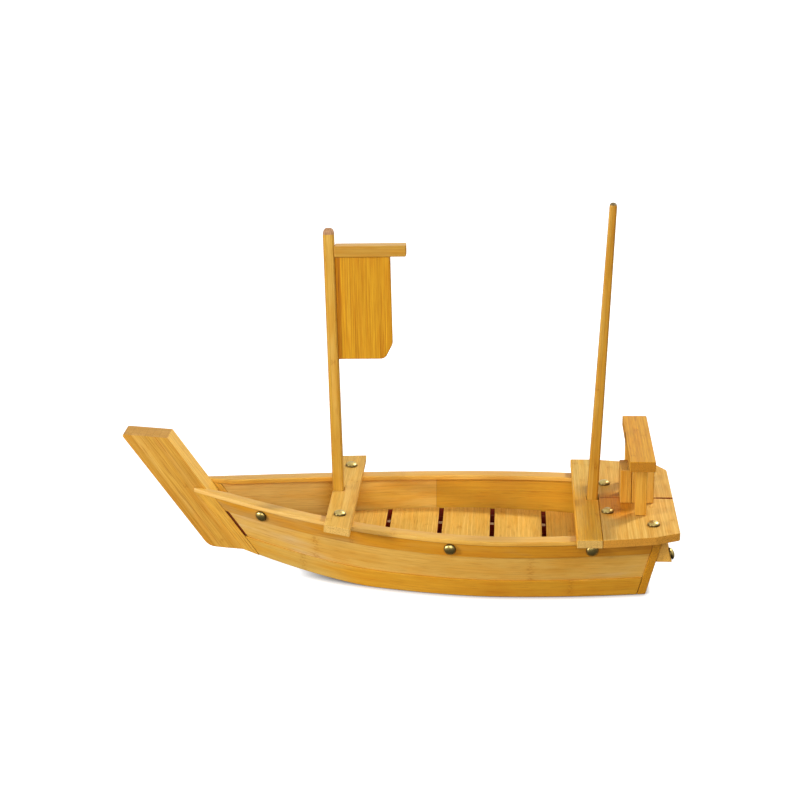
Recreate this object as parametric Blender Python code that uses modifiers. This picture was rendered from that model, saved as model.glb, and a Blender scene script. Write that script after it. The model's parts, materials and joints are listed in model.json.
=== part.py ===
"""Serving boat in varnished bamboo: planked hull, stem post, two lift-out masts, stern deck and deckhouse.

Metres, +Z up, bow toward -X, port side toward -Y. The flat bottom rests on z = 0.
"""
import math

import bmesh
import bpy
from mathutils import Vector

for old in list(bpy.data.objects):
    bpy.data.objects.remove(old, do_unlink=True)

# Fits
GAP = 0.0003              # between pieces that touch
MAST_PLAY = 0.0006        # round a mast in its notch and its step
FLOOR_PLAY = 0.001        # between the floor and the planks
EASE = 0.0009             # rounding of the boards' edges

# Hull lines, to the outside of the planks
WIDEST_X = 0.097
BOW_X = -0.140
STERN_X = 0.240
SHEER_HALF = 0.0895       # half breadth at the top of the planks
SHEER_HALF_BOW = 0.0367
SHEER_HALF_STERN = 0.0735
SHEER_FULLNESS = 1.75
CHINE_HALF = 0.0795       # half breadth at the bottom of the planks
CHINE_HALF_BOW = 0.0180
CHINE_HALF_STERN = 0.0680
CHINE_FULLNESS = 1.72
RAIL_TOP = 0.0593
RAIL_FLAT_X = 0.110       # the rail is level aft of this
RAIL_RISE = 0.0146        # from there to BOW_X
RAIL_CURVE = 1.85
ROCKER_X = -0.025         # the bottom is flat aft of this
ROCKER_RISE = 0.0150
ROCKER_CURVE = 1.35
STATIONS = 26

# Planking
PLANK = 0.0070
LOWER_STRAKE = 0.0180     # depth amidships
SHEER_STRAKE = 0.0130
PANEL_INSET = 0.0014      # the middle strake lies this far behind the other two
PANEL_SHORT = 0.0028      # and stops this far short of the stem
BOTTOM_THICK = 0.0080

# Rail caps
RAIL_THICK = 0.0040
RAIL_WIDTH = 0.0145
RAIL_WIDTH_BOW = 0.0142
RAIL_LIP = 0.0015
RAIL_EASE = 0.0010
RAIL_TIP = 0.0022

# Stem
STEM_THICK = 0.0260
STEM_NOSE_X = -0.2615
STEM_FOOT = 0.0430        # length of its underside, before the forefoot is rounded
STEM_RAKE = 0.672         # of its aft face, X for each unit of height
STEM_HEEL_X = -0.1400
STEM_HEEL_Z = 0.0155
STEM_TOP = 0.1330
STEM_TOP_DROP = 0.0035
STEM_NOSE = 0.0015        # rounding at the top of the nose
STEM_ROUND = 0.0010       # rounding of the fore edge
STEM_FOREFOOT = 0.0140
STEM_HEEL_RISE = 0.0035
JOINT_SETBACK = 0.0060    # of the plank ends from the stem's aft face
CHEEK_EDGE = 0.0007

# Transom and stern
TRANSOM_X = 0.2235
TRANSOM_RAKE = 0.26
TRANSOM_THICK = 0.0075
STERN_BEAM_Z = 0.0319
STERN_BEAM_TALL = 0.0200
STERN_BEAM_DEEP = 0.0150
STERN_BEAM_DEEP_TOP = 0.0034
STERN_BEAM_HALF = 0.0690

# Thwarts and deck
BOARD = 0.0080
FRONT_THWART_X = -0.0508
FRONT_THWART_WIDE = 0.0244
FRONT_THWART_OVERHANG = 0.0250
AFT_THWART_X = 0.1780
AFT_THWART_WIDE = 0.0232
AFT_THWART_HALF = 0.1035
DECK_AFT = 0.2600
DECK_OVERHANG = 0.0190
DECK_SEAM = 0.0016
PORT_CORNER = (0.0225, 0.0105)
STARBOARD_CORNER = (0.0110, 0.0170)
STARBOARD_CORNER_RADIUS = 0.0090
DECK_BEAM_WIDE = 0.0110
DECK_BEAM_TALL = 0.0120

# Floor of the well
FLOOR_TOP = 0.0298        # at X = 0
FLOOR_TILT = 0.041        # the floor lies lower toward the stern
SLAT = 0.0060
SLAT_GAP = 0.0040
SLAT_PITCH = 0.0505
FIRST_GAP_X = -0.0122
FLOOR_FORE_X = -0.0700
FLOOR_AFT_X = 0.2210
SLATS = 6
BEARER_WIDE = 0.0060
BEARER_FORE = (-0.060, 0.0395)
BEARER_AFT = (0.215, 0.0560)

# Deckhouse
HOUSE_TALL = 0.0500
PIER_X = 0.2252
PIER_BOARD = 0.0102
PIER_BOARDS = 3
PIER_HALF = 0.0145
PIER_TALL = 0.0330
POST_X = {"port": 0.2266, "starboard": 0.2217}
POST_SIZE = 0.0105
POST_Y = 0.0400
ROOF_X = 0.2262
ROOF_WIDE = 0.0233
ROOF_HALF = 0.0640
ROOF_THICK = 0.0100

# Masts and sail
FRONT_MAST_X = -0.0566
FRONT_MAST = 0.0105
FRONT_MAST_TIP = 0.0099
FRONT_MAST_TOP = 0.3290
FRONT_MAST_RAKE = -0.011
REAR_MAST_X = 0.1838      # at the top of the deck
REAR_MAST = 0.0101
REAR_MAST_TIP = 0.0067
REAR_MAST_TOP = 0.3520
REAR_MAST_RAKE = 0.049
MAST_EASE = 0.0012
NOTCH_RUNOUT = {"front": -0.0100, "rear": 0.0060}    # the notches run out through the edges of the thwarts
YARD_LENGTH = 0.0650
YARD_TALL = 0.0106
YARD_DEEP = 0.0120
YARD_TOP = 0.3133
SAIL_WIDE = 0.0503
SAIL_TALL = 0.0978
SAIL_THICK = 0.0055
SAIL_SETBACK = 0.0030     # of its near face from the mast's
SAIL_CLIP = (0.0075, 0.0140)
SAIL_CLIP_RADIUS = 0.0070

# Tacks
TACK_HEAD = 0.0114
TACK_DOME = 0.0038
TACK_RIM = 0.0004
TACK_SHANK = 0.0020
TACK_LONG = 0.0110
TACK_SHORT = 0.0055
TACK_STEPS = 16
SIDE_TACK_X = {"fore": -0.1266, "mid": 0.0520, "aft": 0.1810}
SIDE_TACK_BELOW_RAIL = 0.0058
THWART_TACK_Y = 0.0632
DECK_TACKS = {"inner": (0.1968, 0.0357), "outer": (0.2372, 0.0665)}
STERN_TACK_Y = 0.0620
STERN_TACK_UP = 0.0058    # from the lower edge of the beam

BAMBOO = (0.72, 0.40, 0.085)
BAMBOO_PALE = (0.83, 0.53, 0.17)
BAMBOO_DEEP = (0.56, 0.26, 0.035)
BRASS = (0.36, 0.24, 0.07)

DECK_TOP = RAIL_TOP + GAP + BOARD
DECK_FORE = AFT_THWART_X + AFT_THWART_WIDE / 2 + GAP
LOW_SEAM = LOWER_STRAKE / (RAIL_TOP - RAIL_THICK)
HIGH_SEAM = 1 - SHEER_STRAKE / (RAIL_TOP - RAIL_THICK)
STEM_SIDE = STEM_THICK / 2 + GAP

boat = bpy.data.collections.new("serving_boat")
bpy.context.scene.collection.children.link(boat)
tools = bpy.data.collections.new("cutters")
bpy.context.scene.collection.children.link(tools)


def material(name, colour, roughness=0.35, metallic=0.0):
    made = bpy.data.materials.new(name)
    made.use_nodes = True
    shader = made.node_tree.nodes["Principled BSDF"]
    shader.inputs["Base Color"].default_value = (*colour, 1)
    shader.inputs["Roughness"].default_value = roughness
    shader.inputs["Metallic"].default_value = metallic
    return made


def add(name, mesh, colour=BAMBOO, location=(0, 0, 0), rotation=(0, 0, 0), **finish):
    """A piece of the boat with its own material."""
    piece = bpy.data.objects.new(name, mesh)
    piece.location = location
    piece.rotation_euler = rotation
    mesh.materials.append(material(name, colour, **finish))
    boat.objects.link(piece)
    return piece


def ease(piece, width=EASE):
    bevel = piece.modifiers.new("ease", "BEVEL")
    bevel.width = width
    bevel.segments = 2
    bevel.limit_method = "ANGLE"
    bevel.angle_limit = math.radians(35)
    return piece


def cut(piece, cutter):
    boolean = piece.modifiers.new(cutter.name, "BOOLEAN")
    boolean.operation = "DIFFERENCE"
    boolean.solver = "EXACT"
    boolean.object = cutter


def cutter_object(name, mesh, location=(0, 0, 0), rotation=(0, 0, 0)):
    cutter = bpy.data.objects.new(name, mesh)
    cutter.location = location
    cutter.rotation_euler = rotation
    cutter.hide_render = True
    cutter.display_type = "WIRE"
    tools.objects.link(cutter)
    return cutter


def box_mesh(name, size):
    mesh = bpy.data.meshes.new(name)
    bm = bmesh.new()
    bmesh.ops.create_cube(bm, size=1)
    bmesh.ops.scale(bm, vec=size, verts=bm.verts)
    bm.to_mesh(mesh)
    bm.free()
    return mesh


def box(name, low, high, colour=BAMBOO):
    """A board or post with eased edges between two corners."""
    low, high = Vector(low), Vector(high)
    return ease(add(name, box_mesh(name, high - low), colour, (low + high) / 2))


def plate(name, outline, thick, colour=BAMBOO, location=(0, 0, 0), rotation=(0, 0, 0)):
    """A flat board cut to an outline, which lies in its own XY plane at the middle of its thickness."""
    curve = bpy.data.curves.new(name, "CURVE")
    curve.dimensions = "2D"
    curve.fill_mode = "BOTH"
    curve.extrude = thick / 2
    spline = curve.splines.new("POLY")
    spline.points.add(len(outline) - 1)
    for point, (x, y) in zip(spline.points, outline):
        point.co = (x, y, 0, 1)
    spline.use_cyclic_u = True
    source = bpy.data.objects.new(name + "_outline", curve)
    boat.objects.link(source)
    graph = bpy.context.evaluated_depsgraph_get()
    mesh = bpy.data.meshes.new_from_object(source.evaluated_get(graph))
    bpy.data.objects.remove(source)
    mesh.name = name
    mesh.materials.clear()
    bm = bmesh.new()
    bm.from_mesh(mesh)
    bmesh.ops.remove_doubles(bm, verts=bm.verts, dist=1e-6)
    bmesh.ops.dissolve_limit(bm, angle_limit=0.001, verts=bm.verts, edges=bm.edges)
    bmesh.ops.recalc_face_normals(bm, faces=bm.faces)
    bm.to_mesh(mesh)
    bm.free()
    return ease(add(name, mesh, colour, location, rotation))


def loft_mesh(name, rings):
    """A closed body through rings of equally many points."""
    mesh = bpy.data.meshes.new(name)
    bm = bmesh.new()
    loops = [[bm.verts.new(point) for point in ring] for ring in rings]
    for ring, after in zip(loops, loops[1:]):
        for i in range(len(ring)):
            j = (i + 1) % len(ring)
            bm.faces.new((ring[i], ring[j], after[j], after[i]))
    bm.faces.new(loops[0])
    bm.faces.new(loops[-1])
    bmesh.ops.recalc_face_normals(bm, faces=bm.faces)
    bm.to_mesh(mesh)
    bm.free()
    return mesh


def rounded(corners, steps=5):
    """Outline through (x, y, radius) corners, each turned as an arc."""
    points = []
    for i, (x, y, radius) in enumerate(corners):
        corner = Vector((x, y))
        if not radius:
            points.append(corner)
            continue
        back = (Vector(corners[i - 1][:2]) - corner).normalized()
        on = (Vector(corners[(i + 1) % len(corners)][:2]) - corner).normalized()
        half = back.angle(on) / 2
        centre = corner + (back + on).normalized() * radius / math.sin(half)
        start = corner + back * radius / math.tan(half) - centre
        end = corner + on * radius / math.tan(half) - centre
        turn = start.angle_signed(end)
        for k in range(steps + 1):
            a = -turn * k / steps
            points.append(centre + Vector((start.x * math.cos(a) - start.y * math.sin(a),
                                           start.x * math.sin(a) + start.y * math.cos(a))))
    return points


def half_breadth(x, wide, bow, stern, fullness):
    if x < WIDEST_X:
        return wide - (wide - bow) * ((WIDEST_X - x) / (WIDEST_X - BOW_X)) ** fullness
    return wide - (wide - stern) * ((x - WIDEST_X) / (STERN_X - WIDEST_X)) ** 2


def sheer_half(x):
    return half_breadth(x, SHEER_HALF, SHEER_HALF_BOW, SHEER_HALF_STERN, SHEER_FULLNESS)


def chine_half(x):
    return half_breadth(x, CHINE_HALF, CHINE_HALF_BOW, CHINE_HALF_STERN, CHINE_FULLNESS)


def rail_top(x):
    return RAIL_TOP + RAIL_RISE * (max(RAIL_FLAT_X - x, 0) / (RAIL_FLAT_X - BOW_X)) ** RAIL_CURVE


def keel(x):
    return ROCKER_RISE * (max(ROCKER_X - x, 0) / (ROCKER_X - BOW_X)) ** ROCKER_CURVE


def plank_top(x):
    return rail_top(x) - RAIL_THICK - GAP


def skin(x, up, inset=0.0):
    """(half breadth, height) of the planking, at a share of its height and this far inside the outer face."""
    def outer(at):
        return chine_half(at) + (sheer_half(at) - chine_half(at)) * up
    slope = (outer(x + 0.001) - outer(x - 0.001)) / 0.002
    return outer(x) - inset * math.hypot(1, slope), keel(x) + (plank_top(x) - keel(x)) * up


def inner_half(x, z):
    return skin(x, (z - keel(x)) / (plank_top(x) - keel(x)), PLANK)[0]


def stem_aft(z):
    return STEM_HEEL_X - STEM_RAKE * (z - STEM_HEEL_Z)


def transom_fore(z):
    return TRANSOM_X + TRANSOM_RAKE * z


def where(line, up, start):
    """X at which a raked line, given as X for a height, meets the planking at a share of its height."""
    x = start
    for _ in range(30):
        x = line(skin(x, up)[1])
    return x


def solve(value, low, high):
    """Where a rising value crosses zero between two places."""
    for _ in range(50):
        middle = (low + high) / 2
        if value(middle) < 0:
            low = middle
        else:
            high = middle
    return (low + high) / 2


def shares():
    return [i / STATIONS for i in range(STATIONS + 1)]


# Planks of one side: lower, middle and sheer strake, rail cap and the cheek beside the stem
def strake(name, side, low, high, inset, short, colour):
    corners = [(low, inset, GAP / 2 if low else 0), (high, inset, -GAP / 2 if high < 1 else 0)]
    corners += [(high, PLANK, corners[1][2]), (low, PLANK, corners[0][2])]
    ends = []
    for up, _, _ in corners:
        fore = where(lambda z: stem_aft(z) + JOINT_SETBACK + short, up, BOW_X)
        aft = where(lambda z: transom_fore(z) - GAP, up, TRANSOM_X)
        ends.append((fore, aft))
    rings = []
    for s in shares():
        ring = []
        for (up, depth, lift), (fore, aft) in zip(corners, ends):
            x = fore + (aft - fore) * s
            half, z = skin(x, up, depth)
            ring.append((x, side * half, z + lift))
        rings.append(ring)
    return add(name, loft_mesh(name, rings), colour)


def rail_outer(x):
    return sheer_half(x) + RAIL_LIP


def rail_inner(x):
    narrowing = max(WIDEST_X - x, 0) / (WIDEST_X - BOW_X)
    width = RAIL_WIDTH - (RAIL_WIDTH - RAIL_WIDTH_BOW) * narrowing
    return max(STEM_SIDE, rail_outer(x) - width)


def rail_cap(name, side):
    tip = solve(lambda x: rail_outer(x) - STEM_SIDE - RAIL_TIP, STEM_HEEL_X - STEM_TOP, WIDEST_X)
    rings = []
    for s in shares():
        x = tip + (transom_fore(RAIL_TOP - RAIL_THICK) - GAP - tip) * s
        out, inn = rail_outer(x), rail_inner(x)
        top, low = rail_top(x), rail_top(x) - RAIL_THICK
        soft = min(RAIL_EASE, 0.3 * (out - inn))
        ring = [(inn, low), (out - soft / 2, low), (out, low + soft / 2), (out, top - soft),
                (out - soft, top), (inn + soft, top), (inn, top - soft)]
        rings.append([(x, side * y, z) for y, z in ring])
    return add(name, loft_mesh(name, rings), BAMBOO_PALE)


def cheek(name, side):
    rings = []
    for k in range(7):
        up = k / 6
        aft = where(lambda z: stem_aft(z) + JOINT_SETBACK, up, BOW_X) - GAP
        fore = solve(lambda x: skin(x, up)[0] - STEM_SIDE - CHEEK_EDGE, STEM_HEEL_X - STEM_TOP, aft)
        ring = [(fore, side * STEM_SIDE, skin(fore, up)[1])]
        for i in range(5):
            x = fore + (aft - fore) * i / 4
            half, z = skin(x, up)
            ring.append((x, side * half, z))
        ring.append((aft, side * STEM_SIDE, skin(aft, up)[1]))
        rings.append(ring)
    return add(name, loft_mesh(name, rings), BAMBOO)


sides = {"port": -1, "starboard": 1}
caps = {}
sheers = {}
for word, side in sides.items():
    strake(f"lower_strake_{word}", side, 0, LOW_SEAM, 0, 0, BAMBOO_DEEP)
    strake(f"middle_strake_{word}", side, LOW_SEAM, HIGH_SEAM, PANEL_INSET, PANEL_SHORT, BAMBOO)
    sheers[word] = strake(f"sheer_strake_{word}", side, HIGH_SEAM, 1, 0, 0, BAMBOO_DEEP)
    caps[word] = rail_cap(f"rail_cap_{word}", side)
    cheek(f"stem_cheek_{word}", side)

# Bottom board, bent up toward the stem between the lower strakes
rings = []
for s in shares():
    ring = []
    for rise, side in ((0, -1), (0, 1), (BOTTOM_THICK, 1), (BOTTOM_THICK, -1)):
        fore = stem_aft(keel(BOW_X) + rise) + GAP
        aft = transom_fore(rise) - GAP
        x = fore + (aft - fore) * s
        ring.append((x, side * (skin(x, 0, PLANK)[0] - GAP), keel(x) + rise))
    rings.append(ring)
add("bottom_board", loft_mesh("bottom_board", rings), BAMBOO)

# Stem post
profile = rounded([
    (stem_aft(STEM_TOP - STEM_TOP_DROP), STEM_TOP - STEM_TOP_DROP, 0.001),
    (STEM_NOSE_X, STEM_TOP, STEM_NOSE),
    (STEM_HEEL_X - STEM_FOOT, STEM_HEEL_Z + STEM_HEEL_RISE, STEM_FOREFOOT),
    (STEM_HEEL_X, STEM_HEEL_Z, 0),
])
stem = plate("stem_post", profile, STEM_THICK, BAMBOO, rotation=(math.pi / 2, 0, 0))
bm = bmesh.new()
bm.from_mesh(stem.data)
weight = bm.edges.layers.float.new("bevel_weight_edge")
for edge in bm.edges:
    a, b = (end.co for end in edge.verts)
    middle = (a + b) / 2
    if abs(a.z - b.z) < 1e-6 and stem_aft(middle.y) - middle.x > 0.6 * STEM_FOOT:
        edge[weight] = 1
bm.to_mesh(stem.data)
bm.free()
nose = stem.modifiers.new("nose", "BEVEL")
nose.width = STEM_ROUND
nose.segments = 3
nose.limit_method = "WEIGHT"
stem.modifiers.move(1, 0)

# Transom, cut to the section of the hull at its own rake
rings = []
for shift in (0, TRANSOM_THICK * math.hypot(1, TRANSOM_RAKE)):
    half_ring = []
    for k in range(6):
        z = RAIL_TOP * k / 5
        x = transom_fore(z) + shift
        half_ring.append((x, skin(x, z / plank_top(x))[0], z))
    rings.append(half_ring + [(x, -y, z) for x, y, z in reversed(half_ring)])
ease(add("transom", loft_mesh("transom", rings), BAMBOO_DEEP))

# Beam across the outside of the transom, wedge-shaped in section
def stern_face(z):
    return transom_fore(z) + TRANSOM_THICK * math.hypot(1, TRANSOM_RAKE) + GAP


beam_low, beam_high = STERN_BEAM_Z, STERN_BEAM_Z + STERN_BEAM_TALL
section = [
    (stern_face(beam_low), beam_low),
    (stern_face(beam_low) + STERN_BEAM_DEEP, beam_low),
    (stern_face(beam_high) + STERN_BEAM_DEEP_TOP, beam_high),
    (stern_face(beam_high), beam_high),
]
stern_beam = plate("stern_beam", section, 2 * STERN_BEAM_HALF, BAMBOO, rotation=(math.pi / 2, 0, 0))

# Thwarts lying on the rail caps
def rail_slope(x):
    return (rail_top(x + 0.001) - rail_top(x - 0.001)) / 0.002


def across(wide, fore_half, aft_half):
    """Outline of a board that runs from side to side."""
    reach = wide / 2
    return [(-reach, -fore_half), (reach, -aft_half), (reach, aft_half), (-reach, fore_half)]


front_ends = [
    rail_outer(FRONT_THWART_X + step) + FRONT_THWART_OVERHANG
    for step in (-FRONT_THWART_WIDE / 2, FRONT_THWART_WIDE / 2)
]
front_tilt = math.atan(-rail_slope(FRONT_THWART_X))
front_up = Vector((math.sin(front_tilt), 0, math.cos(front_tilt)))
front_seat = Vector((FRONT_THWART_X, 0, rail_top(FRONT_THWART_X)))
front_thwart = plate(
    "front_thwart", across(FRONT_THWART_WIDE, *front_ends), BOARD, BAMBOO_PALE,
    front_seat + front_up * (GAP + BOARD / 2), (0, front_tilt, 0),
)
aft_thwart = plate(
    "aft_thwart", across(AFT_THWART_WIDE, AFT_THWART_HALF, AFT_THWART_HALF), BOARD, BAMBOO_PALE,
    (AFT_THWART_X, 0, DECK_TOP - BOARD / 2),
)

# Stern deck: two planks with a seam on the middle line, on a beam between the rail caps
def deck_plank(name, side, corner, radius):
    long, wide = corner
    turn = DECK_AFT - long
    edge = [DECK_FORE + (turn - DECK_FORE) * k / 4 for k in range(5)]
    outline = [(DECK_FORE, DECK_SEAM / 2, 0)]
    outline += [(x, rail_outer(x) + DECK_OVERHANG, 0) for x in edge[:-1]]
    corner_half = rail_outer(turn) + DECK_OVERHANG
    outline += [(turn, corner_half, radius), (DECK_AFT, corner_half - wide, radius)]
    outline += [(DECK_AFT, DECK_SEAM / 2, 0)]
    points = [(x, side * y) for x, y in rounded(outline)]
    return plate(name, points, BOARD, BAMBOO_PALE, (0, 0, DECK_TOP - BOARD / 2))


decks = {
    "port": deck_plank("deck_plank_port", -1, PORT_CORNER, 0.003),
    "starboard": deck_plank("deck_plank_starboard", 1, STARBOARD_CORNER, STARBOARD_CORNER_RADIUS),
}
beam_fore = DECK_FORE + GAP
beam_half = rail_inner(beam_fore + DECK_BEAM_WIDE) - GAP
deck_beam = box(
    "deck_beam",
    (beam_fore, -beam_half, RAIL_TOP - DECK_BEAM_TALL), (beam_fore + DECK_BEAM_WIDE, beam_half, RAIL_TOP),
)

# Floor of the well: slats across two bearers that stand on the bottom board
floor_middle = FLOOR_TOP - SLAT / 2


def slat_low(x):
    return floor_middle - x * math.tan(FLOOR_TILT) - SLAT / 2 / math.cos(FLOOR_TILT)


slats = []
for i in range(SLATS):
    fore = FIRST_GAP_X + SLAT_PITCH * (i - 1) + SLAT_GAP / 2 if i else FLOOR_FORE_X
    aft = FIRST_GAP_X + SLAT_PITCH * i - SLAT_GAP / 2 if i < SLATS - 1 else FLOOR_AFT_X
    a, b = (inner_half(x, slat_low(x)) - FLOOR_PLAY for x in (fore, aft))
    outline = [(fore, -a), (aft, -b), (aft, b), (fore, a)]
    slats.append(plate(
        f"floor_slat_{i + 1}", outline, SLAT, BAMBOO_PALE, (0, 0, floor_middle), (0, FLOOR_TILT, 0),
    ))

for word, side in sides.items():
    lean = (BEARER_AFT[1] - BEARER_FORE[1]) / (BEARER_AFT[0] - BEARER_FORE[0])

    def bearer_line(x):
        return BEARER_FORE[1] + lean * (x - BEARER_FORE[0])

    def room(x):
        return inner_half(x, keel(x) + BOTTOM_THICK) - bearer_line(x) - BEARER_WIDE / 2 - FLOOR_PLAY

    start = max(BEARER_FORE[0], solve(room, BOW_X, WIDEST_X))
    rings = []
    for k in range(11):
        x = start + (BEARER_AFT[0] - start) * k / 10
        low = keel(x) + BOTTOM_THICK + GAP
        inn, out = bearer_line(x) - BEARER_WIDE / 2, bearer_line(x) + BEARER_WIDE / 2
        high = slat_low(x) - GAP
        rings.append([(x, side * y, z) for y, z in ((inn, low), (out, low), (out, high), (inn, high))])
    name = f"floor_bearer_{word}"
    add(name, loft_mesh(name, rings), BAMBOO)

# Deckhouse: a roof board on two posts, over a pier of upright boards
house_low = DECK_TOP + GAP
house_high = DECK_TOP + HOUSE_TALL
for i, word in enumerate(("fore", "middle", "aft")[:PIER_BOARDS]):
    fore = PIER_X + (PIER_BOARD + GAP) * (i - PIER_BOARDS / 2) + GAP / 2
    low = (fore, -PIER_HALF, house_low)
    high = (fore + PIER_BOARD, PIER_HALF, house_low + PIER_TALL)
    box(f"house_pier_{word}", low, high)
for word, side in sides.items():
    low = (POST_X[word] - POST_SIZE / 2, side * POST_Y - POST_SIZE / 2, house_low)
    high = (POST_X[word] + POST_SIZE / 2, side * POST_Y + POST_SIZE / 2, house_high)
    box(f"house_post_{word}", low, high)
roof_low = house_high + GAP
low = (ROOF_X - ROOF_WIDE / 2, -ROOF_HALF, roof_low)
high = (ROOF_X + ROOF_WIDE / 2, ROOF_HALF, roof_low + ROOF_THICK)
box("house_roof", low, high, BAMBOO_PALE)

# Masts, square with eased arrises, their feet on the bottom board
def square(half, soft, z):
    near = half - soft
    return [(half, near, z), (near, half, z), (-near, half, z), (-half, near, z),
            (-half, -near, z), (-near, -half, z), (near, -half, z), (half, -near, z)]


def mast(name, foot, length, straight, size, tip, rake):
    """Straight up to its thwart, then tapered to a rounded head."""
    levels = [(0, size), (straight, size), (length - tip * 0.5, tip)]
    levels += [(length - tip * 0.2, tip * 0.88), (length, tip * 0.55)]
    rings = [square(width / 2, MAST_EASE, z) for z, width in levels]
    return add(name, loft_mesh(name, rings), BAMBOO, foot, (0, rake, 0))


def mast_hole(name, foot, size, rake, runout=0.0):
    side = size + 2 * MAST_PLAY
    mesh = box_mesh(name, (side + abs(runout), side, 3 * DECK_TOP))
    aft = Vector((math.cos(rake), 0, -math.sin(rake)))
    return cutter_object(name, mesh, foot + aft * runout / 2, (0, rake, 0))


front_foot = Vector((FRONT_MAST_X, 0, keel(FRONT_MAST_X - FRONT_MAST / 2) + BOTTOM_THICK + GAP))
front_length = FRONT_MAST_TOP - front_foot.z
front_mast = mast(
    "front_mast", front_foot, front_length, DECK_TOP, FRONT_MAST, FRONT_MAST_TIP, FRONT_MAST_RAKE,
)
front_hole = mast_hole(
    "front_mast_hole", front_foot, FRONT_MAST, FRONT_MAST_RAKE, NOTCH_RUNOUT["front"],
)
cut(front_thwart, front_hole)
cut(slats[0], front_hole)

rear_lift = Vector((math.sin(REAR_MAST_RAKE), 0, math.cos(REAR_MAST_RAKE)))
rear_low = BOTTOM_THICK + GAP + REAR_MAST / 2 * math.sin(REAR_MAST_RAKE)
rear_foot = Vector((REAR_MAST_X, 0, DECK_TOP)) + rear_lift * ((rear_low - DECK_TOP) / rear_lift.z)
rear_length = (REAR_MAST_TOP - rear_foot.z) / rear_lift.z
rear_mast = mast("rear_mast", rear_foot, rear_length, DECK_TOP, REAR_MAST, REAR_MAST_TIP, REAR_MAST_RAKE)
rear_hole = mast_hole("rear_mast_hole", rear_foot, REAR_MAST, REAR_MAST_RAKE, NOTCH_RUNOUT["rear"])
cut(aft_thwart, rear_hole)
cut(slats[-2], rear_hole)

# Yard and sail board, carried by the front mast
near = -FRONT_MAST / 2
mast_aft = FRONT_MAST_X + FRONT_MAST / 2 + GAP
yard = box(
    "yard",
    (mast_aft, near, YARD_TOP - YARD_TALL), (mast_aft + YARD_LENGTH, near + YARD_DEEP, YARD_TOP),
    BAMBOO_PALE,
)
sail_top = YARD_TOP - YARD_TALL - GAP
sail_low, sail_aft = sail_top - SAIL_TALL, mast_aft + SAIL_WIDE
outline = rounded([
    (mast_aft, sail_low, 0),
    (sail_aft - SAIL_CLIP[0], sail_low, SAIL_CLIP_RADIUS),
    (sail_aft, sail_low + SAIL_CLIP[1], SAIL_CLIP_RADIUS),
    (sail_aft, sail_top, 0),
    (mast_aft, sail_top, 0),
])
sail_y = near + SAIL_SETBACK + SAIL_THICK / 2
sail = plate("sail_board", outline, SAIL_THICK, BAMBOO, (0, sail_y, 0), (math.pi / 2, 0, 0))
for piece in (yard, sail):
    piece.parent = front_mast
    piece.location = piece.location - front_foot

# Tacks: a domed head turned with its shank, and a hole through each board that it holds
def tack_mesh(name, shank):
    head, dome = TACK_HEAD / 2, TACK_DOME - TACK_RIM
    ball = (head * head + dome * dome) / (2 * dome)
    reach = math.asin(min(head / ball, 1))
    profile = [(0, -shank), (TACK_SHANK / 2, -shank), (TACK_SHANK / 2, 0), (head, 0)]
    for k in range(5):
        a = reach * (1 - k / 5)
        profile.append((ball * math.sin(a), TACK_DOME - ball + ball * math.cos(a)))
    profile.append((0, TACK_DOME))
    mesh = bpy.data.meshes.new(name)
    bm = bmesh.new()
    points = [bm.verts.new((r, 0, z)) for r, z in profile]
    for a, b in zip(points, points[1:]):
        bm.edges.new((a, b))
    bm.to_mesh(mesh)
    bm.free()
    return mesh


def tack(name, seat, normal, shank, boards):
    turn = Vector((0, 0, 1)).rotation_difference(normal).to_euler()
    head = add(name, tack_mesh(name, shank), BRASS, seat + normal * GAP, turn, roughness=0.3, metallic=1.0)
    screw = head.modifiers.new("turned", "SCREW")
    screw.steps = TACK_STEPS
    screw.render_steps = TACK_STEPS
    screw.use_merge_vertices = True
    screw.merge_threshold = 0.00001
    screw.use_normal_calculate = True
    mesh = bpy.data.meshes.new(name + "_hole")
    bm = bmesh.new()
    depth = shank + 0.0015
    bmesh.ops.create_cone(bm, segments=8, radius1=TACK_SHANK / 2 + GAP, radius2=TACK_SHANK / 2 + GAP,
                          depth=depth, cap_ends=True)
    bm.to_mesh(mesh)
    bm.free()
    hole = cutter_object(name + "_hole", mesh, seat + normal * (0.001 - depth / 2), turn)
    for board in boards:
        cut(board, hole)


for word, side in sides.items():
    for place, x in SIDE_TACK_X.items():
        up = 1 - SIDE_TACK_BELOW_RAIL / (plank_top(x) - keel(x))
        along = [Vector((x + e, *skin(x + e, up))) for e in (-0.001, 0.001)]
        upward = [Vector((x, *skin(x, up + e))) for e in (-0.01, 0.01)]
        normal = (upward[1] - upward[0]).cross(along[1] - along[0]).normalized()
        seat = Vector((x, *skin(x, up)))
        flip = Vector((1, side, 1))
        tack(f"side_tack_{place}_{word}", seat * flip, normal * flip, TACK_SHORT, [sheers[word]])
    seat = front_seat + front_up * (GAP + BOARD) + Vector((0, side * THWART_TACK_Y, 0))
    tack(f"thwart_tack_{word}", seat, front_up, TACK_LONG, [front_thwart, caps[word]])
    for place, (x, y) in DECK_TACKS.items():
        under = deck_beam if place == "inner" else caps[word]
        tack(f"deck_tack_{place}_{word}", Vector((x, side * y, DECK_TOP)), Vector((0, 0, 1)), TACK_LONG,
             [decks[word], under])
    low, high = Vector((section[1][0], 0, section[1][1])), Vector((section[2][0], 0, section[2][1]))
    normal = (high - low).cross(Vector((0, 1, 0))).normalized() * -1
    seat = low + (high - low).normalized() * STERN_TACK_UP + Vector((0, side * STERN_TACK_Y, 0))
    tack(f"stern_tack_{word}", seat, normal, TACK_SHORT, [stern_beam])

for cutter in tools.objects:
    cutter.hide_set(True)
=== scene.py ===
import bpy
import json
import math
import numpy as np
from mathutils import Matrix, Vector


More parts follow.
